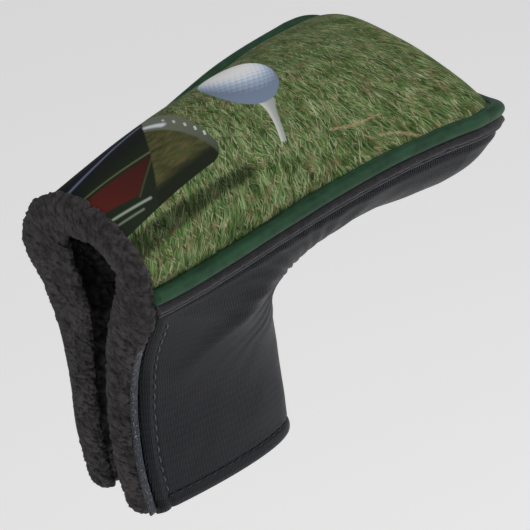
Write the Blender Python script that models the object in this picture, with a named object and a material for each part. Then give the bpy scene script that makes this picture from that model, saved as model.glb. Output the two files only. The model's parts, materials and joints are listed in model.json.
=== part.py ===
"""Head cover for a blade putter: a padded, fleece-lined sleeve that slips over the inverted club.

+X runs from the open heel to the closed toe, -Y is the front face and +Z is up, so the neck hangs
down the shaft. The origin is on the inner ceiling, where the sole of the putter head rests.
"""
import math

import bmesh
import bpy
import numpy as np
from mathutils import Vector

# Driving sizes, metres
HEEL_X = -0.058            # heel edge of the blade part
TOE_X = 0.0655             # tip of the piping at the toe
TOE_ROUND = 0.019          # length of the rounded toe
TOE_SQUARENESS = 3.2       # superellipse exponent of the toe's plan
HEEL_HALF_WIDTH = 0.0255
TOE_HALF_WIDTH = 0.038
WAIST = 0.0015             # how far the long edges bow inwards
HEEL_EDGE_Z = -0.023       # height of the piping at the heel
EDGE_RISE = 0.0165         # how much higher the piping is at the start of the toe
EDGE_RISE_LEAD = 0.85      # below 1 the piping rises nearer the heel
TOE_DROP = 0.0090          # how far it falls again round the toe
TOE_DROP_DELAY = 2.5       # above 1 it falls nearer the tip
BACK_TOE_SETTLE = 0.0030   # how much lower the back corner of the toe lies than the front one
SETTLE_START_X = 0.008     # where that begins
CREST_AT = 0.54            # place of the highest point, as a share of the straight length
HEEL_SAG = 0.0145          # how far the crest falls towards the heel
TOE_SAG = 0.0058           # and towards the start of the toe
TOE_SHOULDER = 0.6         # exponent of the crest's fall round the toe, below 1 for a full one
ARCH_SHARE = 0.65          # share of the straight length over which the arch turns into a dome
UNDERSIDE_Z = -0.0385      # underside of the blade part
TOE_CURVE = ((0.0003, 0.0112), (-0.0045, 0.0034), (-0.0172, -0.0004))  # from tip and underside
MIDDLE_SAG = 0.0008        # how much lower the underside is between the toe and the corner
CORNER_X = -0.0015         # inner corner between the blade part and the neck
CORNER_CURVE = ((0.014, -0.0005), (0.005, -0.0030))  # from the corner and the underside
NECK_CURVE = ((0.0, 0.15), (0.15, 0.30), (0.55, 0.55))  # shares of the neck's lean and height
HEM_Z = -0.111             # bottom of the neck
HEM_RISE = 0.0040          # how much higher the hem is at its open heel edges
HEM_FRONT_X = 0.0112       # toe side of the neck, at the hem
HEM_HEEL_X = -0.048        # heel side of the neck, at the hem
NECK_HEEL_X = -0.0545      # heel side of the neck, half way down
NECK_HALF_WIDTH = 0.0135   # half the neck's width across its open edges
HEEL_CURVE = ((0, 0, 0), (0.6, 0.75, 0.28), (1, 1, 0.5))  # shares of x, width and height
LOWER_HEEL_CURVE = ((0.3, 0.75), (1, 1))  # shares of x and height, down to the hem
SIDE_FULLNESS = ((0, 0.12, 0.3, 0.5, 1), (1.1, 1.1, 1.15, 0.9, 0.74))  # over the side's length

PANEL = 0.0010             # printed top panel
PADDING = 0.0017           # foam under it
TOP_LINING = 0.0046
SIDE_PANEL = 0.0020        # vinyl with its foam backing
SIDE_LINING = 0.0040
PIPING_RADIUS = 0.0019
CORD_RADIUS = 0.0011
FABRIC = 0.0005            # piping cover
FLANGE = 0.0050            # length of the cover's sewn-in leaves
WELT_HEIGHT = 0.0026
WELT_THICKNESS = 0.0014
CUFF_WIDTH = 0.0110        # fleece roll over the arch of the heel, inwards
CUFF_THICKNESS = 0.0032    # and along the cover
FLAP_CUFF_WIDTH = 0.0084   # fleece roll down each flap, inwards
FLAP_CUFF_THICKNESS = 0.0030
BINDING_WIDTH = 0.0024
BINDING_THICKNESS = 0.0010
CLEARANCE = 0.0003
HINGE_OFFSET = 0.0015      # how far outside the panel the hinge line of a flap runs
HINGE_FOOT_Y = 0.4         # place of its lower end, as a share of the neck's half width
HINGE_FOOT_RISE = 0.0070   # and above the hem

# Fineness of the meshes
MERGE = 1e-7
CREASE_ANGLE = math.radians(40)
BLADE_ROWS = 15
TOE_ROWS = 6
TOE_LAST_TURN = math.radians(84)
NECK_ROWS = 10
ACROSS = 12
SIDE_COLUMNS = 8
ROUND_SIDES = 8
CURVE_STEPS = 12           # steps per point of a curve before it is spaced evenly
SEAM_POINTS = 90
HEEL_POINTS = 40
ARCH_POINTS = 19
COVER_ARC_POINTS = 9
COVER_INNER_POINTS = 7

CORNER_LEAD = 0.012        # how far toeward of the corner the rows of the side start to fan out
CORNER_FOOT = 0.3          # and the share of the neck's height at which they stop
TOE_START = TOE_X - TOE_ROUND
TOP_STACK = PANEL + PADDING + TOP_LINING + 2 * CLEARANCE
LEAF_HALF = FABRIC + CLEARANCE / 2
TOP_EDGE_INSET = PIPING_RADIUS + CLEARANCE
STACK_LIFT = LEAF_HALF + CLEARANCE
WELT_DROP = PIPING_RADIUS + CLEARANCE
PANEL_DROP = WELT_DROP + WELT_HEIGHT + CLEARANCE
SIDE_LINING_INSET = max(SIDE_PANEL, PIPING_RADIUS) + CLEARANCE


def smoothstep(t):
    return t * t * (3 - 2 * t)


def curve_through(points, count):
    """A smooth curve through the points, as count points at even steps along it."""
    points = np.asarray(points, float)
    steps = np.linalg.norm(np.diff(points, axis=0), axis=1)
    knots = np.r_[0, np.cumsum(steps)]
    slopes = np.diff(points, axis=0) / steps[:, None]
    tangents = np.vstack((slopes[:1], (slopes[:-1] + slopes[1:]) / 2, slopes[-1:]))
    t = np.linspace(0, knots[-1], CURVE_STEPS * len(points))
    k = np.clip(np.searchsorted(knots, t, side="right") - 1, 0, len(steps) - 1)
    u = ((t - knots[k]) / steps[k])[:, None]
    h = steps[k][:, None]
    start, end = points[k], points[k + 1]
    fine = start + (end - start) * smoothstep(u)
    fine += h * u * (1 - u) * ((1 - u) * tangents[k] - u * tangents[k + 1])
    return along(fine, np.linspace(0, 1, count))


def reach_along(points):
    """Length along a polyline up to each of its points."""
    return np.r_[0, np.cumsum(np.linalg.norm(np.diff(points, axis=0), axis=1))]


def along(points, shares):
    """Points at the given shares of a polyline's length."""
    reach = reach_along(points)
    return np.stack([np.interp(np.asarray(shares) * reach[-1], reach, column) for column in points.T], -1)


# ---------------------------------------------------------------- surfaces

def top_edge(inset, to_centre=True):
    """The front upper edge from heel to toe, as x, half width and height at each station."""
    share = np.linspace(0, 1, BLADE_ROWS)
    x = HEEL_X + (TOE_START - HEEL_X) * share
    half = HEEL_HALF_WIDTH + (TOE_HALF_WIDTH - HEEL_HALF_WIDTH) * share
    half -= WAIST * np.sin(math.pi * share) + inset
    z = HEEL_EDGE_Z + EDGE_RISE * smoothstep(share ** EDGE_RISE_LEAD)
    turn = np.linspace(0, TOE_LAST_TURN, TOE_ROWS + 1)[1:]
    if to_centre:
        turn = np.r_[turn, math.pi / 2]
    power = 2 / TOE_SQUARENESS
    toe_x = TOE_START + (TOE_ROUND - inset) * np.sin(turn) ** power
    toe_half = half[-1] * np.maximum(np.cos(turn), 0) ** power
    toe_z = z[-1] - TOE_DROP * np.sin(turn) ** TOE_DROP_DELAY
    return np.r_[x, toe_x], np.r_[half, toe_half], np.r_[z, toe_z]


def crest(x, depth):
    """Height of the ridge line at x, the given depth below the top panel's face."""
    share = (np.minimum(x, TOE_START) - HEEL_X) / (TOE_START - HEEL_X)
    away = np.where(share < CREST_AT, (CREST_AT - share) / CREST_AT, (share - CREST_AT) / (1 - CREST_AT))
    level = TOP_STACK - depth - np.where(share < CREST_AT, HEEL_SAG, TOE_SAG) * away ** 2
    toe_z = HEEL_EDGE_Z + EDGE_RISE - TOE_DROP
    past = np.clip((x - TOE_START) / (TOE_ROUND - TOP_EDGE_INSET - depth), 0, 1)
    slope = -2 * TOE_SAG / ((1 - CREST_AT) * (TOE_START - HEEL_X))
    level_toe = level + slope * TOE_ROUND * past / 2
    return toe_z + (level_toe - toe_z) * (1 - past ** 2) ** TOE_SHOULDER


def top_surface(depth):
    """Grid over the top from the front edge to the back edge, rows running from heel to toe."""
    x, half, z = top_edge(TOP_EDGE_INSET + depth, to_centre=False)
    z = z + STACK_LIFT
    rise = np.maximum(crest(x, depth) - z, CLEARANCE)
    share = np.clip((x - HEEL_X) / (TOE_START - HEEL_X) / ARCH_SHARE, 0, 1)
    power = 1 / (2 - share)
    v = np.sin(np.linspace(-math.pi / 2, math.pi / 2, ACROSS + 1))
    dome = np.maximum(1 - v[None, :] ** 2, 0) ** power[:, None]
    return np.stack([x[:, None] + 0 * v, half[:, None] * v, z[:, None] + rise[:, None] * dome], -1)


def settle(x, y):
    """How much lower the cover lies at x, y than the same place on a cover with an even toe."""
    toeward = np.clip((x - SETTLE_START_X) / (TOE_START - SETTLE_START_X), 0, 1)
    return BACK_TOE_SETTLE * smoothstep(toeward) * max(y / TOE_HALF_WIDTH, 0) ** 2


def seam_line(inset):
    """Centre seam from the toe along the underside and down the neck, in the plane y = 0."""
    toe_z = HEEL_EDGE_Z + EDGE_RISE - TOE_DROP - PIPING_RADIUS
    neck = HEM_Z - UNDERSIDE_Z
    lean = HEM_FRONT_X - CORNER_X
    points = [(TOE_X, toe_z)]
    points += [(TOE_X + out, UNDERSIDE_Z + up) for out, up in TOE_CURVE]
    points += [((TOE_X + CORNER_X) / 2, UNDERSIDE_Z - MIDDLE_SAG)]
    points += [(CORNER_X + out, UNDERSIDE_Z + up) for out, up in CORNER_CURVE]
    points += [(CORNER_X + across * lean, UNDERSIDE_Z + down * neck) for across, down in NECK_CURVE]
    points += [(HEM_FRONT_X, HEM_Z)]
    line = curve_through(points, SEAM_POINTS)
    run = np.gradient(line, axis=0)
    run /= np.linalg.norm(run, axis=1)[:, None]
    line = line + inset * np.stack([run[:, 1], -run[:, 0]], -1)
    line[:, 0] = np.minimum(line[:, 0], TOE_X + TOE_CURVE[0][0] - inset)
    line[-1, 1] = HEM_Z
    return np.stack([line[:, 0], 0 * line[:, 0], line[:, 1]], -1)


def heel_line(inset):
    """Open front edge of the neck, from the end of the piping down to the hem."""
    neck = HEM_Z + HEM_RISE - HEEL_EDGE_Z
    points = [
        (HEEL_X + a * (NECK_HEEL_X - HEEL_X), HEEL_HALF_WIDTH + b * (NECK_HALF_WIDTH - HEEL_HALF_WIDTH),
         HEEL_EDGE_Z + c * neck)
        for a, b, c in HEEL_CURVE
    ]
    points += [
        (NECK_HEEL_X + a * (HEM_HEEL_X - NECK_HEEL_X), NECK_HALF_WIDTH, HEEL_EDGE_Z + c * neck)
        for a, c in LOWER_HEEL_CURVE
    ]
    line = curve_through(points, HEEL_POINTS)
    line[:, 1] = -(line[:, 1] - inset)
    return line


def side_surface(inset, drop):
    """Grid over the front side, from the centre seam out to the piping and the open heel edge."""
    x, half, z = top_edge(inset)
    blade = np.stack([x, -half, z - drop], -1)[::-1]
    heel = along(heel_line(inset), np.linspace(0, 1, NECK_ROWS + 1))
    heel[:, 2] -= drop * np.linspace(1, 0, len(heel))
    edge = np.vstack((blade, heel[1:]))
    seam = seam_line(inset)

    edge_reach = reach_along(edge)
    seam_reach = reach_along(seam)
    above_corner = np.argmin(np.abs(blade[:, 0] - CORNER_X - CORNER_LEAD))
    on_neck = seam[:, 2] < UNDERSIDE_Z - CORNER_LEAD / 2
    before_corner = np.argmin(np.abs(seam[:, 0] - CORNER_X - CORNER_LEAD) + on_neck)
    below_corner = np.argmin(np.abs(seam[:, 2] - UNDERSIDE_Z - CORNER_FOOT * (HEM_Z - UNDERSIDE_Z)))
    edge_stops = edge_reach[[0, above_corner, len(blade) - 1, -1]]
    seam_stops = seam_reach[[0, before_corner, below_corner, -1]]
    inner = along(seam, np.interp(edge_reach, edge_stops, seam_stops) / seam_reach[-1])
    turn = np.linspace(0, math.pi / 2, SIDE_COLUMNS + 1)
    grid = inner[:, None] + (edge - inner)[:, None] * (1 - np.cos(turn))[None, :, None]
    share = edge_reach / edge_reach[-1]
    fullness = np.interp(share, *SIDE_FULLNESS)
    half_gap = CLEARANCE / 2
    width = np.maximum(-edge[:, 1] - half_gap, 0)
    grid[..., 1] = -half_gap - width[:, None] * np.sin(turn)[None, :] ** fullness[:, None]
    return grid


# ---------------------------------------------------------------- meshes

def material(name, colour, roughness):
    made = bpy.data.materials.new(name)
    made.use_nodes = True
    shader = made.node_tree.nodes["Principled BSDF"]
    shader.inputs["Base Color"].default_value = (*colour, 1)
    shader.inputs["Roughness"].default_value = roughness
    shader.inputs["Metallic"].default_value = 0
    made.diffuse_color = (*colour, 1)
    return made


def add_object(name, mesh_maker, finish, origin=(0, 0, 0)):
    """An object from a bmesh, with faces turned outwards and its origin at the given point."""
    for vert in mesh_maker.verts:
        vert.co.z -= settle(vert.co.x, vert.co.y)
    bmesh.ops.remove_doubles(mesh_maker, verts=mesh_maker.verts, dist=MERGE)
    bmesh.ops.recalc_face_normals(mesh_maker, faces=mesh_maker.faces)
    bmesh.ops.translate(mesh_maker, verts=mesh_maker.verts, vec=-Vector(origin))
    mesh = bpy.data.meshes.new(name)
    mesh_maker.to_mesh(mesh)
    mesh_maker.free()
    mesh.shade_smooth()
    mesh.set_sharp_from_angle(angle=CREASE_ANGLE)
    made = bpy.data.objects.new(name, mesh)
    made.location = origin
    made.data.materials.append(finish)
    bpy.context.scene.collection.objects.link(made)
    return made


def sheet_solid(outer, inner):
    """The closed solid between two grids of the same size."""
    made = bmesh.new()
    sheets = []
    for grid in (outer, inner):
        verts = [[made.verts.new(point) for point in row] for row in grid]
        for row, following in zip(verts, verts[1:]):
            for a, b, c, d in zip(row, row[1:], following[1:], following):
                made.faces.new((a, b, c, d))
        sheets.append(verts)
    rims = [edge for edge in made.edges if edge.is_boundary]
    bmesh.ops.bridge_loops(made, edges=rims)
    return made


def close_rings(made, rings):
    """Faces between one ring of vertices and the next, and a cap at both ends."""
    for ring, following in zip(rings, rings[1:]):
        for i, vert in enumerate(ring):
            j = (i + 1) % len(ring)
            made.faces.new((vert, ring[j], following[j], following[i]))
    made.faces.new(rings[0][::-1])
    made.faces.new(rings[-1])
    return made


def swept_solid(path, outwards, section):
    """A section of (out, up) points carried along a path, closed at both ends."""
    made = bmesh.new()
    run = np.gradient(path, axis=0)
    rings = []
    for point, forward, out in zip(path, run, outwards):
        forward = Vector(forward).normalized()
        out = Vector(out)
        out = (out - forward * out.dot(forward)).normalized()
        up = forward.cross(out)
        rings.append([made.verts.new(Vector(point) + out * a + up * b) for a, b in section])
    return close_rings(made, rings)


def mirrored(made):
    """The same mesh on the back of the cover."""
    for vert in made.verts:
        vert.co.y = -vert.co.y
    return made


def oval_section(out, up, centre=(0.0, 0.0)):
    """An oval of the given sizes, out and up."""
    turns = [2 * math.pi * k / ROUND_SIDES for k in range(ROUND_SIDES)]
    return [(centre[0] + out / 2 * math.cos(t), centre[1] + up / 2 * math.sin(t)) for t in turns]


# ---------------------------------------------------------------- flaps

def flap_line():
    """Two points of the line on which the front flap folds, just outside its panel."""
    upper = Vector((HEEL_X, -HEEL_HALF_WIDTH - HINGE_OFFSET, HEEL_EDGE_Z - PANEL_DROP))
    lower = Vector((HEM_FRONT_X, -HINGE_FOOT_Y * NECK_HALF_WIDTH - HINGE_OFFSET, HEM_Z + HINGE_FOOT_RISE))
    return upper, lower


def cut_at_flap(made, keep_flap):
    """The mesh's flap, or what is left of it above the fold line."""
    upper, lower = flap_line()
    run = lower - upper
    towards_blade = Vector((-run.z, 0, run.x)).normalized()
    side = -1 if keep_flap else 1
    bmesh.ops.bisect_plane(
        made, geom=made.verts[:] + made.edges[:] + made.faces[:], dist=MERGE,
        plane_co=upper + towards_blade * side * CLEARANCE / 2, plane_no=towards_blade * side,
        clear_inner=True)
    rim = [edge for edge in made.edges if edge.is_boundary]
    bmesh.ops.holes_fill(made, edges=rim, sides=0)
    return made


def mirror_point(point, side):
    return Vector((point.x, point.y * side, point.z))


# ---------------------------------------------------------------- the pieces

def make_top(finishes):
    depth = 0.0
    layers = (
        ("top_panel", PANEL, "print"),
        ("top_padding", PADDING, "foam"),
        ("top_lining", TOP_LINING, "fleece"),
    )
    for name, thickness, finish in layers:
        add_object(name, sheet_solid(top_surface(depth), top_surface(depth + thickness)), finishes[finish])
        depth += thickness + CLEARANCE


def make_sides(finishes):
    layers = (
        ("panel", 0.0, SIDE_PANEL, PANEL_DROP, "vinyl"),
        ("lining", SIDE_LINING_INSET, SIDE_LINING, STACK_LIFT, "fleece"),
    )
    for side, sign in (("front", 1), ("back", -1)):
        hinge = mirror_point(flap_line()[0], sign)
        for layer, inset, thickness, drop, finish in layers:
            for keep_flap in (False, True):
                solid = sheet_solid(side_surface(inset, drop), side_surface(inset + thickness, drop))
                solid = cut_at_flap(solid, keep_flap)
                if sign < 0:
                    solid = mirrored(solid)
                name = f"{side}_flap_{layer}" if keep_flap else f"{side}_side_{layer}"
                add_object(name, solid, finishes[finish], hinge if keep_flap else (0, 0, 0))


def edge_solid(section):
    """A section of (out, up) points carried from the front of the heel round the toe to the back."""
    made = bmesh.new()
    rings = []
    stations = len(top_edge(0.0)[0])
    for sign, order in ((-1, range(stations)), (1, range(stations - 2, -1, -1))):
        sides = [np.stack(top_edge(-out), -1) * (1, sign, 1) + (0, 0, up) for out, up in section]
        rings += [[made.verts.new(side[k]) for side in sides] for k in order]
    return close_rings(made, rings)


def make_piping(finishes):
    add_object("piping_cord", edge_solid(oval_section(2 * CORD_RADIUS, 2 * CORD_RADIUS)), finishes["cord"])

    def arc(radius, height, count, backwards=False):
        half_slit = math.asin(height / radius)
        turns = np.linspace(math.pi - half_slit, half_slit - math.pi, count)
        points = [(radius * math.cos(t), radius * math.sin(t)) for t in turns]
        return points[::-1] if backwards else points

    leaf_end = -PIPING_RADIUS - FLANGE
    section = [(leaf_end, CLEARANCE / 2), (leaf_end, LEAF_HALF)]
    section += arc(PIPING_RADIUS, LEAF_HALF, COVER_ARC_POINTS)
    section += [(leaf_end, -LEAF_HALF), (leaf_end, -CLEARANCE / 2)]
    section += arc(PIPING_RADIUS - FABRIC, CLEARANCE / 2, COVER_INNER_POINTS, backwards=True)
    add_object("piping_cover", edge_solid(section), finishes["piping"])

    welt_top = -WELT_DROP
    welt_bottom = welt_top - WELT_HEIGHT
    outer = -CLEARANCE
    inner = outer - WELT_THICKNESS
    section = [(outer, welt_top), (outer, welt_bottom), (inner, welt_bottom), (inner, welt_top)]
    add_object("seam_welt", edge_solid(section), finishes["welt"])


def make_cuffs(finishes):
    """The fleece rolls over the heel's arch and down the flaps, and the glossy binding beside them."""
    arch = top_surface(CUFF_WIDTH / 2)[0]
    arch[:, 0] = HEEL_X - CUFF_THICKNESS / 2 - CLEARANCE
    arch = along(arch, np.linspace(0, 1, ARCH_POINTS))
    heel_out = np.tile((-1.0, 0.0, 0.0), (ARCH_POINTS, 1))
    roll = swept_solid(arch, heel_out, oval_section(CUFF_THICKNESS, CUFF_WIDTH))
    add_object("heel_cuff", roll, finishes["fleece"])

    panel_edge = side_surface(0.0, PANEL_DROP)[:, -1]
    panel_edge = panel_edge[panel_edge[:, 2] < flap_line()[0].z - CUFF_WIDTH / 2]
    outwards = np.tile((-1.0, 0.0, 0.0), (len(panel_edge), 1))
    ledge = CLEARANCE + BINDING_WIDTH
    strip = [(CLEARANCE, 0), (ledge, 0), (ledge, BINDING_THICKNESS), (CLEARANCE, BINDING_THICKNESS)]
    centre = (FLAP_CUFF_THICKNESS / 2 + CLEARANCE, BINDING_THICKNESS + CLEARANCE + FLAP_CUFF_WIDTH / 2)
    flap_roll = oval_section(FLAP_CUFF_THICKNESS, FLAP_CUFF_WIDTH, centre)
    for side, sign in (("front", 1), ("back", -1)):
        hinge = mirror_point(flap_line()[0], sign)
        for piece, section, finish in (("cuff", flap_roll, "fleece"), ("binding", strip, "binding")):
            solid = swept_solid(panel_edge, outwards, section)
            if sign < 0:
                solid = mirrored(solid)
            add_object(f"{side}_flap_{piece}", solid, finishes[finish], hinge)


def main():
    for old in list(bpy.data.objects):
        bpy.data.objects.remove(old)
    finishes = {
        "print": material("printed_fabric", (0.13, 0.22, 0.05), 0.55),
        "foam": material("padding_foam", (0.55, 0.55, 0.52), 0.90),
        "fleece": material("fleece", (0.030, 0.029, 0.029), 0.95),
        "vinyl": material("ribbed_vinyl", (0.035, 0.037, 0.042), 0.45),
        "piping": material("piping_fabric", (0.012, 0.040, 0.020), 0.50),
        "cord": material("cord_core", (0.60, 0.60, 0.58), 0.80),
        "welt": material("welt_felt", (0.020, 0.020, 0.022), 0.95),
        "binding": material("glossy_binding", (0.012, 0.016, 0.026), 0.25),
    }
    make_top(finishes)
    make_sides(finishes)
    make_piping(finishes)
    make_cuffs(finishes)


main()
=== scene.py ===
"""Looks of the blade putter's head cover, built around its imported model.

The cover's frame: +X runs from the open heel to the closed toe, -Y is the front and +Z is up.
Fabric shapes repeat the design's formulas at a fine step, and the frame gives their overall sizes.
"""
import json
import math

import bmesh
import bpy
import numpy as np
from mathutils import Matrix, Vector


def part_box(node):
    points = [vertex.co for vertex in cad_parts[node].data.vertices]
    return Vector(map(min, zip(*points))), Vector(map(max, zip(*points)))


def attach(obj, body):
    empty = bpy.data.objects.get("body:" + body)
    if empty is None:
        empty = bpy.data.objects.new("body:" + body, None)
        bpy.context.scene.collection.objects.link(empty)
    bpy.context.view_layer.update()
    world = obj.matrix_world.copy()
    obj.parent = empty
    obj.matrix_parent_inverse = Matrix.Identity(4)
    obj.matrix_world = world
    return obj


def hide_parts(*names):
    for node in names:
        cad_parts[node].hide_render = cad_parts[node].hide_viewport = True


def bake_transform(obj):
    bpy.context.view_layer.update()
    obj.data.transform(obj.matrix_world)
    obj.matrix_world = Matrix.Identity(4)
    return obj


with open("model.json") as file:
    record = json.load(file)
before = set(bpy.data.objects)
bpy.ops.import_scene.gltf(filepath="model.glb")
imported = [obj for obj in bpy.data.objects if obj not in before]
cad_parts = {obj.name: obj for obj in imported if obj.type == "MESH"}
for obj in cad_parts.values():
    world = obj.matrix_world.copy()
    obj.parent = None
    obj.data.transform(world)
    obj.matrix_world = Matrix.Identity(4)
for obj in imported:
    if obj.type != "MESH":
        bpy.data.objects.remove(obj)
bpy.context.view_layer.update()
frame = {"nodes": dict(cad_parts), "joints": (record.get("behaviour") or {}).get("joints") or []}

# ---------------------------------------------------------------- sizes, metres
CORD_RADIUS = 0.0011
PIPING_RADIUS = 0.0019
FABRIC = 0.0005
FLANGE = 0.0050
CLEARANCE = 0.0003
PANEL = 0.0010
PADDING = 0.0017
TOP_LINING = 0.0046
SIDE_PANEL = 0.0020
SIDE_LINING = 0.0040
WELT_HEIGHT = 0.0026
WELT_THICKNESS = 0.0014
BINDING_WIDTH = 0.0024
BINDING_THICKNESS = 0.0010
CUFF_WIDTH = 0.0110
CUFF_THICKNESS = 0.0032
FLAP_CUFF_WIDTH = 0.0084
FLAP_CUFF_THICKNESS = 0.0030
HINGE_OFFSET = 0.0015
HINGE_FOOT_Y = 0.4
HINGE_FOOT_RISE = 0.0070

HEEL_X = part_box("top_panel")[0].x
TOE_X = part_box("piping_cord")[1].x - CORD_RADIUS
TOE_HALF_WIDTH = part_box("piping_cord")[1].y - CORD_RADIUS
HEM_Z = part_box("front_flap_panel")[0].z
TOE_ROUND = 0.019
TOE_SQUARENESS = 3.2
HEEL_HALF_WIDTH = 0.0255
WAIST = 0.0015
HEEL_EDGE_Z = -0.023
EDGE_RISE = 0.0165
EDGE_RISE_LEAD = 0.85
TOE_DROP = 0.0090
TOE_DROP_DELAY = 2.5
BACK_TOE_SETTLE = 0.0030
SETTLE_START_X = 0.008
CREST_AT = 0.54
HEEL_SAG = 0.0145
TOE_SAG = 0.0058
TOE_SHOULDER = 0.6
ARCH_SHARE = 0.65
UNDERSIDE_Z = -0.0385
CORNER_X = -0.0015
HEM_RISE = 0.0040
HEM_FRONT_X = 0.0112
HEM_HEEL_X = -0.048
NECK_HEEL_X = -0.0545
NECK_HALF_WIDTH = 0.0135
CORNER_LEAD = 0.012
CORNER_FOOT = 0.3
TOE_CURVE = ((0.0003, 0.0112), (-0.0045, 0.0034), (-0.0172, -0.0004))
MIDDLE_SAG = 0.0008
CORNER_CURVE = ((0.014, -0.0005), (0.005, -0.0030))
NECK_CURVE = ((0.0, 0.15), (0.15, 0.30), (0.55, 0.55))
HEEL_CURVE = ((0, 0, 0), (0.6, 0.75, 0.28), (1, 1, 0.5))
LOWER_HEEL_CURVE = ((0.3, 0.75), (1, 1))
SIDE_FULLNESS = ((0, 0.12, 0.3, 0.5, 1), (1.1, 1.1, 1.15, 0.9, 0.74))

TOE_START = TOE_X - TOE_ROUND
TOP_STACK = PANEL + PADDING + TOP_LINING + 2 * CLEARANCE
LEAF_HALF = FABRIC + CLEARANCE / 2
TOP_EDGE_INSET = PIPING_RADIUS + CLEARANCE
STACK_LIFT = LEAF_HALF + CLEARANCE
WELT_DROP = PIPING_RADIUS + CLEARANCE
PANEL_DROP = WELT_DROP + WELT_HEIGHT + CLEARANCE
SIDE_LINING_INSET = max(SIDE_PANEL, PIPING_RADIUS) + CLEARANCE

EDGE_STATIONS = 300
BLADE_SIDE_ROWS = 190
NECK_SIDE_ROWS = 150
SIDE_COLUMNS = 110
TOP_ACROSS = 120
ROLL_POINTS = 620
ROLL_SIDES = 96

FOLD_HALF = 0.006          # half the width of the fold over which a flap bends
BACK_PUFF = 0.0021         # how much fuller the top is in its back half
TOE_PUFF = 0.0024          # and near the toe's tip
TOP_SLACK = 0.00022
TOP_PUCKER = 0.00028
TOP_ROUNDING = 0.0007
RIDGE_START, RIDGE_END = (-0.014, -0.034), (-0.036, -0.058)    # x and z of the side's soft fold
RIDGE_HEIGHT = 0.0015
CREASE_HEIGHT = 0.00042
DRAG_HEIGHT = 0.00016
SEAM_PUFF = 0.0006
HEM_DEPTH = 0.0048
EDGE_STITCH_INSET = 0.0052
GROOVE_DEPTH, GROOVE_WIDTH = 0.00045, 0.0006    # where the stitches pull the vinyl in
FOLDED_RADIUS = 0.0009     # rounding of the vinyl's folded edges
EDGE_STITCH = (0.0039, 0.0026)    # pitch and length
HEM_STITCH = (0.0033, 0.0022)
THREAD_RADIUS = 0.00026
CEILING_PILE = 0.0016      # height of the fleece's curls
LINING_PILE = 0.0030
ROLL_PILE = 0.0022
ROLL_OVERHANG = 0.0007     # how far the pile stands over the printed cloth
ROLL_HALF_THICKNESS = 0.0024
FLAP_ROLL_HALF_THICKNESS = 0.0022
PIPING_END = ((0.00005, 0.00186), (0.0005, 0.00180), (0.0009, 0.0014), (0.0011, 0.0006))
WELT_BULGE = 0.0021
TAPE_RADIUS, TAPE_OUT, TAPE_DROP = 0.00024, 0.0014, 0.00045

MERGE = 1e-6
DEGENERATE = 1e-7
SHARP_ANGLE = math.radians(60)
HEELWARD = np.array((-1.0, 0.0, 0.0))
SIDES = {1: "front", -1: "back"}


# ---------------------------------------------------------------- noise

def smoothstep(t):
    return t * t * (3 - 2 * t)


def rise(t, low, high):
    return smoothstep(np.clip((t - low) / (high - low), 0, 1))


def lattice(cells, seed):
    """A repeatable random number from 0 to 1 for each whole-number cell."""
    n = cells.astype(np.uint32)
    mixed = n[..., 0] * np.uint32(73856093) ^ n[..., 1] * np.uint32(19349663)
    mixed = mixed ^ n[..., 2] * np.uint32(83492791) ^ np.uint32(seed * 7919 + 17)
    for factor in (2246822519, 3266489917):
        mixed = (mixed ^ (mixed >> np.uint32(15))) * np.uint32(factor)
    return ((mixed ^ (mixed >> np.uint32(16))) & np.uint32(65535)) / 65535.0


def value_noise(points, size, seed=0):
    """Smooth noise from -1 to 1 whose features have the given size."""
    p = np.asarray(points) / size + 100
    cell = np.floor(p).astype(np.int64)
    t = smoothstep(p - cell)
    total = np.zeros(p.shape[:-1])
    for corner in np.ndindex(2, 2, 2):
        corner = np.array(corner)
        weight = np.prod(np.where(corner, t, 1 - t), axis=-1)
        total += weight * lattice(cell + corner, seed)
    return 2 * total - 1


def tufts(points, size, seed=0):
    """Rounded tufts of the given size: their height from 0 to 1, and a random tone for each."""
    p = np.asarray(points) / size + 100
    cell = np.floor(p).astype(np.int64)
    nearest = np.full(p.shape[:-1], 9.0)
    tone = np.zeros(p.shape[:-1])
    for step in np.ndindex(3, 3, 3):
        here = cell + np.array(step) - 1
        centre = here + np.stack([lattice(here, seed + k) for k in (1, 2, 3)], -1)
        distance = np.sum((p - centre) ** 2, axis=-1)
        closer = distance < nearest
        nearest = np.where(closer, distance, nearest)
        tone = np.where(closer, lattice(here, seed + 4), tone)
    return np.clip(1 - nearest, 0, 1), tone


def pile(points, seed=0):
    """Height of curly fleece from 0 to 1."""
    wander = np.stack([value_noise(points, 0.0030, seed + k) for k in (11, 12, 13)], -1) * 0.0008
    large, _ = tufts(points + wander, 0.0028, seed)
    small, _ = tufts(points + wander, 0.0011, seed + 5)
    fine = 0.5 + 0.5 * value_noise(points, 0.00055, seed + 9)
    return 0.42 * large + 0.38 * small + 0.20 * fine


# ---------------------------------------------------------------- shapes

def reach_along(points):
    return np.r_[0, np.cumsum(np.linalg.norm(np.diff(points, axis=0), axis=1))]


def along(points, shares):
    reach = reach_along(points)
    return np.stack([np.interp(np.asarray(shares) * reach[-1], reach, column) for column in points.T], -1)


def curve_through(points, count):
    """A smooth curve through the points, as count points at even steps along it."""
    points = np.asarray(points, float)
    steps = np.linalg.norm(np.diff(points, axis=0), axis=1)
    knots = np.r_[0, np.cumsum(steps)]
    slopes = np.diff(points, axis=0) / steps[:, None]
    tangents = np.vstack((slopes[:1], (slopes[:-1] + slopes[1:]) / 2, slopes[-1:]))
    t = np.linspace(0, knots[-1], 40 * len(points))
    k = np.clip(np.searchsorted(knots, t, side="right") - 1, 0, len(steps) - 1)
    u = ((t - knots[k]) / steps[k])[:, None]
    h = steps[k][:, None]
    start, end = points[k], points[k + 1]
    fine = start + (end - start) * smoothstep(u)
    fine += h * u * (1 - u) * ((1 - u) * tangents[k] - u * tangents[k + 1])
    return along(fine, np.linspace(0, 1, count))


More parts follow.
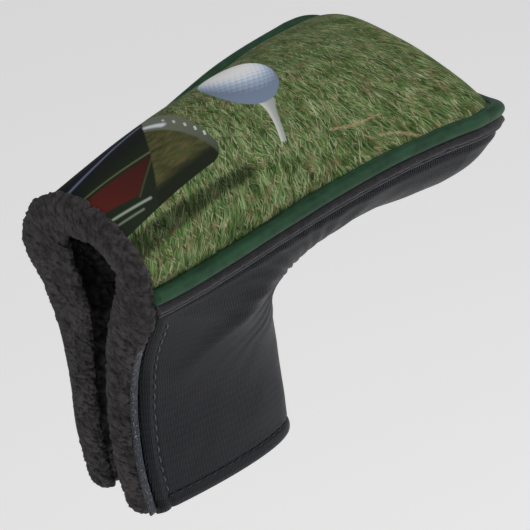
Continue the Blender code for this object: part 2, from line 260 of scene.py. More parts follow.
def top_edge(inset, count=EDGE_STATIONS):
    """The front upper edge from heel to toe, as x, half width and height at even steps."""
    share = np.linspace(0, 1, 400)
    turn = np.linspace(0, math.pi / 2, 900)[1:] ** 2 / (math.pi / 2)
    power = 2 / TOE_SQUARENESS

    def line(inset):
        x = HEEL_X + (TOE_START - HEEL_X) * share
        half = HEEL_HALF_WIDTH + (TOE_HALF_WIDTH - HEEL_HALF_WIDTH) * share
        half -= WAIST * np.sin(math.pi * share) + inset
        z = HEEL_EDGE_Z + EDGE_RISE * smoothstep(share ** EDGE_RISE_LEAD)
        toe_x = TOE_START + (TOE_ROUND - inset) * np.sin(turn) ** power
        toe_half = half[-1] * np.maximum(np.cos(turn), 0) ** power
        toe_z = z[-1] - TOE_DROP * np.sin(turn) ** TOE_DROP_DELAY
        return np.stack([np.r_[x, toe_x], np.r_[half, toe_half], np.r_[z, toe_z]], -1)

    reach = reach_along(line(0.0))
    stations = np.linspace(0, reach[-1], count)
    return tuple(np.interp(stations, reach, column) for column in line(inset).T)


def crest(x, depth):
    """Height of the ridge line at x, the given depth below the top panel's face."""
    share = (np.minimum(x, TOE_START) - HEEL_X) / (TOE_START - HEEL_X)
    away = np.where(share < CREST_AT, (CREST_AT - share) / CREST_AT, (share - CREST_AT) / (1 - CREST_AT))
    level = TOP_STACK - depth - np.where(share < CREST_AT, HEEL_SAG, TOE_SAG) * away ** 2
    toe_z = HEEL_EDGE_Z + EDGE_RISE - TOE_DROP
    past = np.clip((x - TOE_START) / (TOE_ROUND - TOP_EDGE_INSET - depth), 0, 1)
    slope = -2 * TOE_SAG / ((1 - CREST_AT) * (TOE_START - HEEL_X))
    level_toe = level + slope * TOE_ROUND * past / 2
    return toe_z + (level_toe - toe_z) * (1 - past ** 2) ** TOE_SHOULDER


def top_surface(depth, across=TOP_ACROSS, count=EDGE_STATIONS):
    """Grid over the top from the front edge to the back edge, rows running from heel to toe."""
    x, half, z = top_edge(TOP_EDGE_INSET + depth, count)
    z = z + STACK_LIFT
    lift = np.maximum(crest(x, depth) - z, CLEARANCE)
    share = np.clip((x - HEEL_X) / (TOE_START - HEEL_X) / ARCH_SHARE, 0, 1)
    v = np.sin(np.linspace(-math.pi / 2, math.pi / 2, across + 1))
    dome = np.maximum(1 - v[None, :] ** 2, 0) ** (1 / (2 - share))[:, None]
    return np.stack([x[:, None] + 0 * v, half[:, None] * v, z[:, None] + lift[:, None] * dome], -1)


def settled(points):
    """The points, lowered where the back corner of the toe lies lower than the front one."""
    points = np.array(points, float)
    toeward = np.clip((points[:, 0] - SETTLE_START_X) / (TOE_START - SETTLE_START_X), 0, 1)
    backward = np.maximum(points[:, 1] / TOE_HALF_WIDTH, 0)
    points[:, 2] -= BACK_TOE_SETTLE * smoothstep(toeward) * backward ** 2
    return points


def seam_line(inset):
    """Centre seam from the toe along the underside and down the neck, in the plane y = 0."""
    toe_z = HEEL_EDGE_Z + EDGE_RISE - TOE_DROP - PIPING_RADIUS
    neck = HEM_Z - UNDERSIDE_Z
    lean = HEM_FRONT_X - CORNER_X
    points = [(TOE_X, toe_z)]
    points += [(TOE_X + out, UNDERSIDE_Z + up) for out, up in TOE_CURVE]
    points += [((TOE_X + CORNER_X) / 2, UNDERSIDE_Z - MIDDLE_SAG)]
    points += [(CORNER_X + out, UNDERSIDE_Z + up) for out, up in CORNER_CURVE]
    points += [(CORNER_X + across * lean, UNDERSIDE_Z + down * neck) for across, down in NECK_CURVE]
    points += [(HEM_FRONT_X, HEM_Z)]
    line = curve_through(points, 500)
    run = np.gradient(line, axis=0)
    run /= np.linalg.norm(run, axis=1)[:, None]
    line = line + inset * np.stack([run[:, 1], -run[:, 0]], -1)
    line[:, 0] = np.minimum(line[:, 0], TOE_X + TOE_CURVE[0][0] - inset)
    line[-1, 1] = HEM_Z
    return np.stack([line[:, 0], 0 * line[:, 0], line[:, 1]], -1)


def heel_line(inset):
    """Open front edge of the neck, from the end of the piping down to the hem."""
    neck = HEM_Z + HEM_RISE - HEEL_EDGE_Z
    points = [
        (HEEL_X + a * (NECK_HEEL_X - HEEL_X), HEEL_HALF_WIDTH + b * (NECK_HALF_WIDTH - HEEL_HALF_WIDTH),
         HEEL_EDGE_Z + c * neck)
        for a, b, c in HEEL_CURVE
    ]
    points += [
        (NECK_HEEL_X + a * (HEM_HEEL_X - NECK_HEEL_X), NECK_HALF_WIDTH, HEEL_EDGE_Z + c * neck)
        for a, c in LOWER_HEEL_CURVE
    ]
    line = curve_through(points, 300)
    line[:, 1] = -(line[:, 1] - inset)
    return line


def side_surface(inset, drop, columns=SIDE_COLUMNS):
    """Grid over the front side, from the centre seam out to the piping and the open heel edge."""
    x, half, z = top_edge(inset, BLADE_SIDE_ROWS)
    blade = np.stack([x, -half, z - drop], -1)[::-1]
    heel = along(heel_line(inset), np.linspace(0, 1, NECK_SIDE_ROWS + 1))
    heel[:, 2] -= drop * np.linspace(1, 0, len(heel))
    edge = np.vstack((blade, heel[1:]))
    seam = seam_line(inset)
    edge_reach = reach_along(edge)
    seam_reach = reach_along(seam)
    above_corner = np.argmin(np.abs(blade[:, 0] - CORNER_X - CORNER_LEAD))
    on_neck = seam[:, 2] < UNDERSIDE_Z - CORNER_LEAD / 2
    before_corner = np.argmin(np.abs(seam[:, 0] - CORNER_X - CORNER_LEAD) + on_neck)
    below_corner = np.argmin(np.abs(seam[:, 2] - UNDERSIDE_Z - CORNER_FOOT * (HEM_Z - UNDERSIDE_Z)))
    edge_stops = edge_reach[[0, above_corner, len(blade) - 1, -1]]
    seam_stops = seam_reach[[0, before_corner, below_corner, -1]]
    inner = along(seam, np.interp(edge_reach, edge_stops, seam_stops) / seam_reach[-1])
    turn = np.linspace(0, math.pi / 2, columns + 1)
    grid = inner[:, None] + (edge - inner)[:, None] * (1 - np.cos(turn))[None, :, None]
    share = edge_reach / edge_reach[-1]
    fullness = np.interp(share, *SIDE_FULLNESS)
    half_gap = CLEARANCE / 2
    width = np.maximum(-edge[:, 1] - half_gap, 0)
    grid[..., 1] = -half_gap - width[:, None] * np.sin(turn)[None, :] ** fullness[:, None]
    return grid


def grid_normals(grid):
    """Unit normals of a grid of points."""
    first = np.gradient(grid, axis=0)
    second = np.gradient(grid, axis=1)
    normal = np.cross(first, second)
    return normal / np.maximum(np.linalg.norm(normal, axis=-1, keepdims=True), 1e-12)


def mirrored(grid):
    return grid * (1, -1, 1)


# ---------------------------------------------------------------- meshes

def add_object(name, data):
    made = bpy.data.objects.new(name, data)
    bpy.context.scene.collection.objects.link(made)
    return made


def make_mesh(name, points, faces, fields, weld=False, sharp=True):
    """An object whose faces point outwards, with vector or number fields at its points."""
    mesh = bpy.data.meshes.new(name)
    mesh.from_pydata(settled(points).tolist(), [], faces)
    for field, values in fields.items():
        values = np.asarray(values, np.float32).reshape(len(points), -1)
        kind, slot = ("FLOAT_VECTOR", "vector") if values.shape[1] > 1 else ("FLOAT", "value")
        mesh.attributes.new(field, kind, "POINT").data.foreach_set(slot, values.ravel())
    made = bmesh.new()
    made.from_mesh(mesh)
    if weld:
        bmesh.ops.remove_doubles(made, verts=made.verts, dist=MERGE)
        bmesh.ops.dissolve_degenerate(made, edges=made.edges, dist=DEGENERATE)
    bmesh.ops.recalc_face_normals(made, faces=made.faces)
    made.to_mesh(mesh)
    made.free()
    mesh.shade_smooth()
    if sharp:
        mesh.set_sharp_from_angle(angle=SHARP_ANGLE)
    return add_object(name, mesh)


def grid_faces(rows, columns, first=0, closed=False):
    index = first + np.arange(rows * columns).reshape(rows, columns)
    if closed:
        index = np.hstack((index, index[:, :1]))
    return np.stack([index[:-1, :-1], index[:-1, 1:], index[1:, 1:], index[1:, :-1]], -1).reshape(-1, 4)


def layer_mesh(name, outer, inner, fields):
    """The closed layer between two grids of the same size. A field holds one grid of values for each."""
    rows, columns = outer.shape[:2]
    points = np.vstack((outer.reshape(-1, 3), inner.reshape(-1, 3)))
    index = np.arange(rows * columns).reshape(rows, columns)
    rim = np.r_[index[0], index[1:, -1], index[-1, -2::-1], index[-2:0:-1, 0]]
    after = np.roll(rim, -1)
    shift = rows * columns
    walls = np.stack([rim, after, after + shift, rim + shift], -1)
    faces = np.vstack((grid_faces(rows, columns), grid_faces(rows, columns, shift), walls))
    flat = {field: np.concatenate([np.reshape(v, (shift, -1)) for v in pair])
            for field, pair in fields.items()}
    return make_mesh(name, points, faces.tolist(), flat, weld=True)


def circle(count):
    return np.linspace(0, 2 * math.pi, count, endpoint=False)


def tube_faces(count, sides, first=0):
    """Faces of rings joined into a tube, with a face over each end."""
    start = [first + k for k in range(sides)]
    end = [first + (count - 1) * sides + k for k in range(sides)]
    return grid_faces(count, sides, first, closed=True).tolist() + [start[::-1], end]


def tube_mesh(name, rings, fields):
    """Rings of points joined into a closed tube."""
    return make_mesh(name, rings.reshape(-1, 3), tube_faces(*rings.shape[:2]), fields)


def sweep(path, outwards, section):
    """Rings of a section of (out, up) points carried along a path. The section may change along it."""
    run = np.gradient(path, axis=0)
    run /= np.linalg.norm(run, axis=1)[:, None]
    out = outwards - run * np.sum(outwards * run, axis=1)[:, None]
    out /= np.linalg.norm(out, axis=1)[:, None]
    up = np.cross(run, out)
    section = np.broadcast_to(section, (len(path),) + np.shape(section)[-2:])
    return path[:, None] + out[:, None] * section[..., :1] + up[:, None] * section[..., 1:]


# ---------------------------------------------------------------- node materials

def rgb(red, green, blue):
    """A colour given as 0 to 255 screen values."""
    return tuple((c / 255 / 12.92 if c < 10.3 else ((c / 255 + 0.055) / 1.055) ** 2.4)
                 for c in (red, green, blue)) + (1.0,)


class Value:
    """A number in a node tree, which takes plain arithmetic."""

    def __init__(self, socket):
        self.socket = socket
        self.tree = socket.id_data

    def math(self, operation, *others):
        node = self.tree.nodes.new("ShaderNodeMath")
        node.operation = operation
        for slot, value in zip(node.inputs, (self, *others)):
            connect(value, slot)
        return Value(node.outputs[0])

    def __add__(self, other):
        return self.math("ADD", other)

    def __sub__(self, other):
        return self.math("SUBTRACT", other)

    def __mul__(self, other):
        return self.math("MULTIPLY", other)

    def __truediv__(self, other):
        return self.math("DIVIDE", other)

    def __rsub__(self, other):
        return self * -1.0 + other

    __radd__ = __add__
    __rmul__ = __mul__

    def above(self, edge, soft=0.02):
        """1 where the number is over the edge, 0 where it is under, and soft between."""
        node = self.tree.nodes.new("ShaderNodeMapRange")
        node.interpolation_type = "SMOOTHSTEP"
        connect(self, node.inputs["Value"])
        connect(edge - soft if not isinstance(edge, Value) else edge + (-soft), node.inputs["From Min"])
        connect(edge + soft, node.inputs["From Max"])
        return Value(node.outputs["Result"])

    def below(self, edge, soft=0.02):
        return 1.0 - self.above(edge, soft)


def connect(value, slot):
    if isinstance(value, Value):
        value.tree.links.new(value.socket, slot)
    else:
        slot.default_value = value


class Finish:
    """A Principled material under construction."""

    def __init__(self, name):
        self.material = bpy.data.materials.new(name)
        self.material.use_nodes = True
        self.tree = self.material.node_tree
        self.shader = self.tree.nodes["Principled BSDF"]

    def node(self, kind, **settings):
        made = self.tree.nodes.new(kind)
        for key, value in settings.items():
            setattr(made, key, value)
        return made

    def field(self, name):
        """A mesh field, in metres, as x, y and z in millimetres."""
        source = self.node("ShaderNodeAttribute", attribute_name=name)
        parts = self.node("ShaderNodeSeparateXYZ")
        self.tree.links.new(source.outputs["Vector"], parts.inputs[0])
        return [Value(parts.outputs[k]) * 1000.0 for k in range(3)]

    def number(self, name):
        return Value(self.node("ShaderNodeAttribute", attribute_name=name).outputs["Fac"])

    def vector(self, x=0.0, y=0.0, z=0.0):
        made = self.node("ShaderNodeCombineXYZ")
        for slot, value in zip(made.inputs, (x, y, z)):
            connect(value, slot)
        return made.outputs[0]

    def noise(self, place, scale=1.0, detail=2.0, roughness=0.5, distortion=0.0):
        """Noise from 0 to 1 at a place, which is a socket or a tuple of up to three numbers."""
        made = self.node("ShaderNodeTexNoise")
        made.inputs["Scale"].default_value = scale
        made.inputs["Detail"].default_value = detail
        made.inputs["Roughness"].default_value = roughness
        made.inputs["Distortion"].default_value = distortion
        place = self.vector(*place) if isinstance(place, tuple) else place
        self.tree.links.new(place, made.inputs["Vector"])
        return Value(made.outputs["Fac"])

    def cells(self, place, scale=1.0, randomness=1.0, dimensions="2D"):
        """Distance to the nearest cell's centre, and two random numbers for each cell."""
        made = self.node("ShaderNodeTexVoronoi", voronoi_dimensions=dimensions)
        made.inputs["Scale"].default_value = scale
        made.inputs["Randomness"].default_value = randomness
        self.tree.links.new(place, made.inputs["Vector"])
        parts = self.node("ShaderNodeSeparateColor")
        self.tree.links.new(made.outputs["Color"], parts.inputs[0])
        return Value(made.outputs["Distance"]), Value(parts.outputs[0]), Value(parts.outputs[1])

    def mix(self, share, first, second):
        """The first colour where share is 0 and the second where it is 1."""
        made = self.node("ShaderNodeMix", data_type="RGBA")
        connect(share, made.inputs[0])
        for slot, colour in ((6, first), (7, second)):
            if isinstance(colour, tuple):
                made.inputs[slot].default_value = colour
            else:
                self.tree.links.new(colour, made.inputs[slot])
        return made.outputs[2]

    def shade(self, colour, factor):
        """The colour multiplied by a number."""
        made = self.node("ShaderNodeMix", data_type="RGBA", blend_type="MULTIPLY")
        made.inputs[0].default_value = 1.0
        self.tree.links.new(colour, made.inputs[6])
        self.tree.links.new(self.vector(factor, factor, factor), made.inputs[7])
        return made.outputs[2]

    def ramp(self, value, stops):
        made = self.node("ShaderNodeValToRGB")
        stops = sorted(stops)
        bar = made.color_ramp
        bar.elements[0].position, bar.elements[0].color = stops[0]
        bar.elements[1].position, bar.elements[1].color = stops[-1]
        for place, colour in stops[1:-1]:
            bar.elements.new(place).color = colour
        connect(value, made.inputs[0])
        return made.outputs[0]

    def set(self, **values):
        for key, value in values.items():
            slot = self.shader.inputs[key.replace("_", " ")]
            if isinstance(value, bpy.types.NodeSocket):
                self.tree.links.new(value, slot)
            else:
                connect(value, slot)

    def bump(self, height, distance, strength=1.0):
        """Bump of a height from 0 to 1 over the given distance in metres."""
        made = self.node("ShaderNodeBump")
        made.inputs["Distance"].default_value = distance
        made.inputs["Strength"].default_value = strength
        connect(height, made.inputs["Height"])
        if self.shader.inputs["Normal"].links:
            self.tree.links.new(self.shader.inputs["Normal"].links[0].from_socket, made.inputs["Normal"])
        self.tree.links.new(made.outputs[0], self.shader.inputs["Normal"])


# ---------------------------------------------------------------- the printed picture, millimetres
# The picture is drawn in the cloth's own flat coordinates: u runs from heel to toe, and v from
# the centre line towards the back, which is up in the picture.

BALL_CENTRE, BALL_HALF, BALL_TILT = (-1.3, 6.0), (13.7, 10.6), math.radians(76.3)
BALL_LIGHT = (0.30, 0.72, 0.62)
DIMPLE_PITCH = 0.155
GRASS_RECEDES = 0.009      # how fast the blades shrink towards the back
TEE_FOOT, TEE_HEAD = (-6.4, -20.9), (-2.6, -7.6)
CLUB_CENTRE, CLUB_HALF, CLUB_CORNER = (-62.0, 2.6), (38.2, 17.0), 5.0
SHADOW_ENDS = ((-58.0, -18.4), (-20.0, -21.8))
STALKS = (((8.6, -22.9), (15.0, -24.7)), ((15.0, -24.7), (24.3, -25.1)),
          ((20.6, -30.2), (25.5, -32.0)), ((25.5, -32.0), (31.0, -35.6)))


def far_side(u, v, start, end):
    """Distance from the line through two points, positive on its left."""
    dx, dy = end[0] - start[0], end[1] - start[1]
    size = math.hypot(dx, dy)
    return (v - start[1]) * (dx / size) - (u - start[0]) * (dy / size)


def from_segment(u, v, start, end):
    """Distance from a segment, and the share of its length."""
    dx, dy = end[0] - start[0], end[1] - start[1]
    size2 = dx * dx + dy * dy
    share = ((u - start[0]) * (dx / size2) + (v - start[1]) * (dy / size2)).math("MAXIMUM", 0.0)
    share = share.math("MINIMUM", 1.0)
    across = u - (share * dx + start[0])
    up = v - (share * dy + start[1])
    return (across * across + up * up).math("SQRT"), share


def all_of(*values):
    least = values[0]
    for value in values[1:]:
        least = least.math("MINIMUM", value)
    return least


def draw_grass(finish, u, v):
    """Blades of grass laid over each other, from dark ones below to light ones on top."""
    patch = finish.noise((u, v), scale=0.16, detail=3.0)
    finer = (v * GRASS_RECEDES).math("EXPONENT")
    u = u * finer
    v = (finer - 1.0) / GRASS_RECEDES
    dry = finish.noise((u, v, 11.0), scale=0.34, detail=4.0, roughness=0.65)
    sway = finish.noise((u, v, 7.0), scale=0.10, detail=1.0) - 0.5
    depth = finish.noise((u * 1.6, v * 0.6, 3.0), scale=0.9, detail=4.0, roughness=0.7)
    colour = finish.ramp(depth, [(0.30, rgb(24, 38, 16)), (0.50, rgb(48, 70, 30)),
                                 (0.70, rgb(86, 104, 54))])
    layers = (
        (0.30, 3.2, -9, 0.46, (rgb(34, 54, 26), rgb(64, 92, 46), rgb(104, 126, 72))),
        (0.25, 2.5, 15, 0.42, (rgb(46, 72, 34), rgb(84, 113, 60), rgb(130, 144, 98))),
        (0.31, 4.0, 4, 0.34, (rgb(56, 88, 46), rgb(92, 124, 72), rgb(146, 160, 122))),
        (0.22, 1.8, -24, 0.26, (rgb(76, 66, 46), rgb(112, 118, 78), rgb(168, 162, 136))),
        (0.20, 1.4, 40, 0.20, (rgb(30, 40, 22), rgb(100, 106, 66), rgb(158, 148, 122))),
    )
    for number, (width, length, lean, share, tones) in enumerate(layers):
        c, s = math.cos(math.radians(lean)), math.sin(math.radians(lean))
        across = (u * c + v * s + sway * 3.4) / width
        up = (v * c - u * s) / length
        distance, tone, presence = finish.cells(finish.vector(across + 17.0 * number, up))
        tone = tone * 0.7 + patch * 0.45 - 0.06
        blade = finish.ramp(tone, [(0.15, tones[0]), (0.5, tones[1]), (0.92, tones[2])])
        cover = presence.below(share, 0.06) * distance.below(0.60, 0.22)
        colour = finish.mix(cover, colour, blade)
    straw = finish.ramp(depth, [(0.3, rgb(84, 64, 44)), (0.7, rgb(150, 128, 96))])
    colour = finish.mix(dry.above(0.60, 0.07) * 0.42, colour, straw)
    light = patch.above(0.5, 0.22) * 0.30 + 0.97
    return finish.shade(colour, light)


def draw_stalks(finish, u, v, colour):
    for start, end in STALKS:
        wander = (finish.noise((u, v), scale=0.8) - 0.5) * 1.2
        distance, _ = from_segment(u, v + wander, start, end)
        fibres = finish.noise((u * 0.4 + v * 0.5, v * 3.0), scale=1.5, detail=3.0)
        straw = finish.ramp(fibres, [(0.35, rgb(112, 92, 62)), (0.6, rgb(176, 158, 124))])
        colour = finish.mix(distance.below(0.42, 0.25) * fibres.above(0.42, 0.1) * 0.85, colour, straw)
    return colour


def draw_shadow(finish, u, v, colour):
    distance, share = from_segment(u, v, *SHADOW_ENDS)
    ragged = finish.noise((u, v * 0.6), scale=1.1, detail=3.0) * 2.4 - 1.2
    dark = (distance + ragged + share * 1.6).below(3.4, 1.0)
    return finish.shade(colour, 1.0 - dark * 0.66)


def draw_tee(finish, u, v, colour):
    distance, share = from_segment(u, v, TEE_FOOT, TEE_HEAD)
    flare = share.math("POWER", 5.0) * 1.5 + share * 0.30 + 0.85
    across = far_side(u, v, TEE_FOOT, TEE_HEAD) / flare
    pale = finish.ramp(across * 0.5 + 0.5, [(0.0, rgb(150, 156, 150)), (0.45, rgb(168, 172, 166)),
                                              (1.0, rgb(206, 208, 200))])
    ragged = finish.noise((u * 2.0, v * 0.5), scale=1.2, detail=2.0) * 0.22 - 0.07
    shape = (distance - flare).below(0.0, 0.15) * (share - ragged).above(0.02, 0.02)
    return finish.mix(shape, colour, pale)


def draw_ball(finish, u, v, colour):
    c, s = math.cos(BALL_TILT), math.sin(BALL_TILT)
    du, dv = u - BALL_CENTRE[0], v - BALL_CENTRE[1]
    a = (du * c + dv * s) / BALL_HALF[0]
    b = (dv * c - du * s) / BALL_HALF[1]
    r2 = a * a + b * b
    face = (1.0 - r2).math("MAXIMUM", 0.0).math("SQRT")
    lit = (a * s + b * c) * BALL_LIGHT[1] + (a * c - b * s) * BALL_LIGHT[0] + face * BALL_LIGHT[2]
    spread = 1.0 + r2 * 0.32
    step = 2 * math.pi / DIMPLE_PITCH

    def dimples(x, y):
        total = None
        for k in range(3):
            angle = k * math.pi / 3
            wave = (x * math.cos(angle) * step + y * math.sin(angle) * step).math("COSINE")
            total = wave if total is None else total + wave
        return total.above(0.1, 1.2)

    x, y = a * spread, b * spread
    relief = dimples(x + 0.016 * s, y + 0.016 * c) - dimples(x - 0.016 * s, y - 0.016 * c)
    tone = lit + relief * 0.12 - 0.03
    skin = finish.ramp(tone, [(0.0, rgb(122, 136, 158)), (0.35, rgb(172, 188, 210)),
                              (0.58, rgb(228, 236, 244)), (0.80, rgb(255, 255, 255))])
    return finish.mix(r2.below(1.0, 0.025), colour, skin)


def draw_club(finish, u, v, colour):
    """A plain dark club head that reflects the grass."""
    lean = u + (v - CLUB_CENTRE[1]) * 0.075
    x = ((lean - CLUB_CENTRE[0]).math("ABSOLUTE") - (CLUB_HALF[0] - CLUB_CORNER)).math("MAXIMUM", 0.0)
    y = ((v - CLUB_CENTRE[1]).math("ABSOLUTE") - (CLUB_HALF[1] - CLUB_CORNER)).math("MAXIMUM", 0.0)
    inside = CLUB_CORNER - (x * x + y * y).math("SQRT")
    streaks = finish.noise((u * 0.35 + v * 0.3, v * 1.1), scale=0.6, detail=4.0, roughness=0.6)
    face = finish.ramp(streaks, [(0.3, rgb(52, 56, 34)), (0.52, rgb(84, 86, 52)), (0.75, rgb(118, 98, 68))])
    face = finish.shade(face, 0.9)
    low = v.below(-9.6, 2.0)
    face = finish.mix(low, face, rgb(30, 36, 26))
    edge = ((v + 12.8) / 21.5).math("MAXIMUM", 0.0).math("POWER", 1.3) * -8.2 + (-24.4)
    rim = u.above(edge, 0.5)
    rim_tone = finish.ramp((v + 14.0) / 32.0, [(0.0, rgb(66, 74, 58)), (0.5, rgb(108, 114, 100)),
                                               (1.0, rgb(124, 130, 118))])
    face = finish.mix(rim, face, rim_tone)
    for dot in ((-27.0, 7.0), (-26.4, 3.1), (-25.6, -0.5), (-24.7, -3.6), (-23.9, -6.5)):
        distance, _ = from_segment(u, v, dot, (dot[0] + 0.35, dot[1] + 0.9))
        face = finish.mix(distance.below(0.32, 0.14), face, rgb(196, 202, 184))
    glint, _ = from_segment(u, v, (-31.4, 12.4), (-28.6, 5.6))
    face = finish.mix(glint.below(0.9, 0.7), face, rgb(226, 231, 236))

    body = far_side(u, v, (-37.1, 1.2), (-29.0, 14.5)).above(0.0, 0.3)
    base = finish.mix(v.above(6.0, 5.0), rgb(34, 42, 30), rgb(24, 30, 28))
    face = finish.mix(body, face, base)
    red = all_of(far_side(u, v, (-38.3, -1.2), (-60.0, 3.2)),
                 far_side(u, v, (-60.0, -3.8), (-48.8, -8.1)),
                 far_side(u, v, (-48.8, -8.1), (-38.3, -1.2)))
    redness = finish.ramp((u + 60.0) / 22.0, [(0.0, rgb(92, 36, 30)), (0.55, rgb(74, 32, 28)),
                                              (1.0, rgb(60, 30, 26))])
    face = finish.mix(red.above(0.0, 0.25), face, redness)
    for start, end, width, tone in (((-38.0, 0.1), (-60.0, 4.5), 0.38, rgb(98, 104, 74)),
                                    ((-38.3, -1.6), (-48.6, -8.6), 0.22, rgb(78, 80, 54)),
                                    ((-46.8, -10.9), (-60.0, -7.2), 0.42, rgb(150, 164, 148)),
                                    ((-50.0, -11.9), (-60.0, -9.6), 0.30, rgb(120, 134, 120))):
        distance, _ = from_segment(u, v, start, end)
        face = finish.mix(distance.below(width * 0.8, 0.34), face, tone)
    top = v.above(13.2, 0.7) * body
    face = finish.mix(top, face, rgb(18, 20, 30))
    shine, _ = from_segment(u, v, (-30.0, 14.6), (-60.0, 10.6))
    face = finish.mix(shine.below(0.55, 0.5) * body, face, rgb(112, 120, 150))
    return finish.mix(inside.above(0.0, 0.12), colour, face)


def print_finish():
    finish = Finish("printed_polyester")
    u, v, _ = finish.field("cloth")
    colour = draw_grass(finish, u, v)
    colour = draw_stalks(finish, u, v, colour)
    colour = draw_shadow(finish, u, v, colour)
    colour = draw_tee(finish, u, v, colour)
    colour = draw_ball(finish, u, v, colour)
    colour = draw_club(finish, u, v, colour)
    weave = (u * (2 * math.pi / 0.42)).math("SINE") * (v * (2 * math.pi / 0.42)).math("SINE")
    finish.set(Base_Color=colour, Roughness=0.8, Specular_IOR_Level=0.12)
    finish.bump(weave * 0.5 + 0.5, 0.00005, 0.5)
    return finish.material


# ---------------------------------------------------------------- the other materials

def vinyl_finish():
    """Carbon-look vinyl: fine upright ribs in bands that step, with a soft sheen."""
    finish = Finish("ribbed_vinyl")
    u, v, _ = finish.field("cloth")
    band_height, rib_pitch = 2.6, 0.58
    slope = v + u * 0.10 + 200.0
    band = (slope / (2 * band_height)).math("FRACT")
    second = band.above(0.5, 0.03)
    ribs = ((u + second * (rib_pitch / 2)) * (2 * math.pi / rib_pitch)).math("SINE") * 0.5 + 0.5
    step = (slope / band_height).math("FRACT")
    wear = finish.noise((u, v), scale=0.09, detail=3.0)
    tone = ribs * 0.36 + step * 0.34 + wear * 0.5 - 0.12
    colour = finish.ramp(tone, [(0.1, rgb(8, 10, 15)), (0.5, rgb(17, 19, 25)), (0.95, rgb(38, 40, 46))])
    grain = finish.noise((u, v), scale=5.0, detail=2.0)
    finish.set(Base_Color=colour, Roughness=wear * 0.12 + 0.34, Specular_IOR_Level=0.10)
    finish.bump(ribs * 0.5 + step * 0.9, 0.00030, 0.8)
    finish.bump(grain, 0.00006, 0.6)
    return finish.material


def fleece_finish(name="charcoal_fleece", low=(24, 23, 24), high=(104, 100, 101)):
    """Curly pile, with painted shade down at the roots of its curls and painted light on their tips."""
    finish = Finish(name)
    x, y, z = finish.field("rest")
    height = finish.number("pile")
    strands = finish.noise((x, y, z), scale=3.2, detail=4.0, roughness=0.75, distortion=1.4)
    patches = finish.noise((x, y, z), scale=0.22, detail=2.0)
    # the pile's height paints shade into the hollows between curls and light onto their tips
    tone = height * 0.62 + strands * 0.55 + patches * 0.22 - 0.24
    middle = tuple((a * 3 + b) / 4 for a, b in zip(low, high))
    colour = finish.ramp(tone, [(0.18, rgb(*low)), (0.52, rgb(*middle)), (0.95, rgb(*high))])
    finish.set(Base_Color=colour, Roughness=0.95, Sheen_Weight=0.35, Sheen_Roughness=0.6,
               Sheen_Tint=rgb(150, 146, 148), Specular_IOR_Level=0.12)
    finish.bump(strands, 0.0006, 0.9)
    return finish.material


def felt_finish(name="welt_felt", low=(13, 13, 16), high=(60, 58, 63)):
    finish = Finish(name)
    x, y, z = finish.field("rest")
    fuzz = finish.noise((x, y, z), scale=4.5, detail=4.0, roughness=0.8, distortion=0.8)
    colour = finish.ramp(fuzz, [(0.3, rgb(*low)), (0.75, rgb(*high))])
    finish.set(Base_Color=colour, Roughness=0.95, Sheen_Weight=0.25, Sheen_Roughness=0.5,
               Specular_IOR_Level=0.15)
    finish.bump(fuzz, 0.0004, 0.9)
    return finish.material


def piping_finish():
    """Satin weave wrapped round a cord."""
    finish = Finish("green_satin")
    x, y, z = finish.field("rest")
    cloudy = finish.noise((x, y, z), scale=0.25, detail=3.0)
    along_cord = (x * 0.8 + y * 0.6) * (2 * math.pi / 0.34)
    twill = (along_cord + z * 12.0).math("SINE")
    colour = finish.ramp(cloudy + twill * 0.03, [(0.3, rgb(20, 54, 34)), (0.7, rgb(34, 74, 48))])
    finish.set(Base_Color=colour, Roughness=0.66, Sheen_Weight=0.06, Sheen_Roughness=0.4,
               Specular_IOR_Level=0.30)
    finish.bump(twill * 0.5 + 0.5, 0.00003, 0.7)
    finish.bump(cloudy, 0.0006, 0.3)
    return finish.material


def binding_finish():
    """Glossy crinkled patent strip, with pale specks painted in as its speckled highlight."""
    finish = Finish("glossy_binding")
    x, y, z = finish.field("rest")
    crinkle = finish.noise((x, y, z * 0.5), scale=1.7, detail=3.0, roughness=0.7)
    colour = finish.ramp(crinkle, [(0.3, rgb(6, 9, 18)), (0.7, rgb(18, 26, 44))])
    # pale specks in the colour are painted highlight on the crinkled gloss
    highlight_specks = finish.noise((x, y, z * 0.6), scale=3.2, detail=2.0)
    colour = finish.mix(highlight_specks.above(0.64, 0.03) * 0.8, colour, rgb(150, 158, 172))
    finish.set(Base_Color=colour, Roughness=0.28, Specular_IOR_Level=0.2, Coat_Weight=0.25,
               Coat_Roughness=0.06)
    finish.bump(crinkle, 0.0004, 1.0)
    return finish.material


def thread_finish(name, dark, light):
    """Twisted sewing thread."""
    finish = Finish(name)
    x, y, z = finish.field("rest")
    twist = ((x + y * 0.7 + z * 0.9) * (2 * math.pi / 0.30)).math("SINE") * 0.5 + 0.5
    colour = finish.ramp(twist, [(0.2, rgb(*dark)), (0.8, rgb(*light))])
    finish.set(Base_Color=colour, Roughness=0.55)
    finish.bump(twist, 0.00008, 0.8)
    return finish.material


def foam_finish():
    finish = Finish("open_cell_foam")
    place = finish.node("ShaderNodeTexCoord").outputs["Object"]
    distance, _, _ = finish.cells(place, scale=1400.0, dimensions="3D")
    colour = finish.ramp(distance, [(0.2, rgb(120, 118, 110)), (0.7, rgb(196, 193, 184))])
    finish.set(Base_Color=colour, Roughness=0.92)
    finish.bump(distance, 0.0004, 0.8)
    return finish.material


def cord_finish():
    finish = Finish("cotton_cord")
    place = finish.node("ShaderNodeTexCoord").outputs["Object"]
    parts = finish.node("ShaderNodeSeparateXYZ")
    finish.tree.links.new(place, parts.inputs[0])
    x, y, z = (Value(parts.outputs[k]) * 1000.0 for k in range(3))
    twist = (x * 5.0 + y * 4.0 + z * 7.0).math("SINE") * 0.5 + 0.5
    colour = finish.ramp(twist, [(0.2, rgb(168, 164, 152)), (0.8, rgb(214, 210, 200))])
    finish.set(Base_Color=colour, Roughness=0.85)
    finish.bump(twist, 0.0003, 0.8)
    return finish.material


# ---------------------------------------------------------------- fold of the flaps

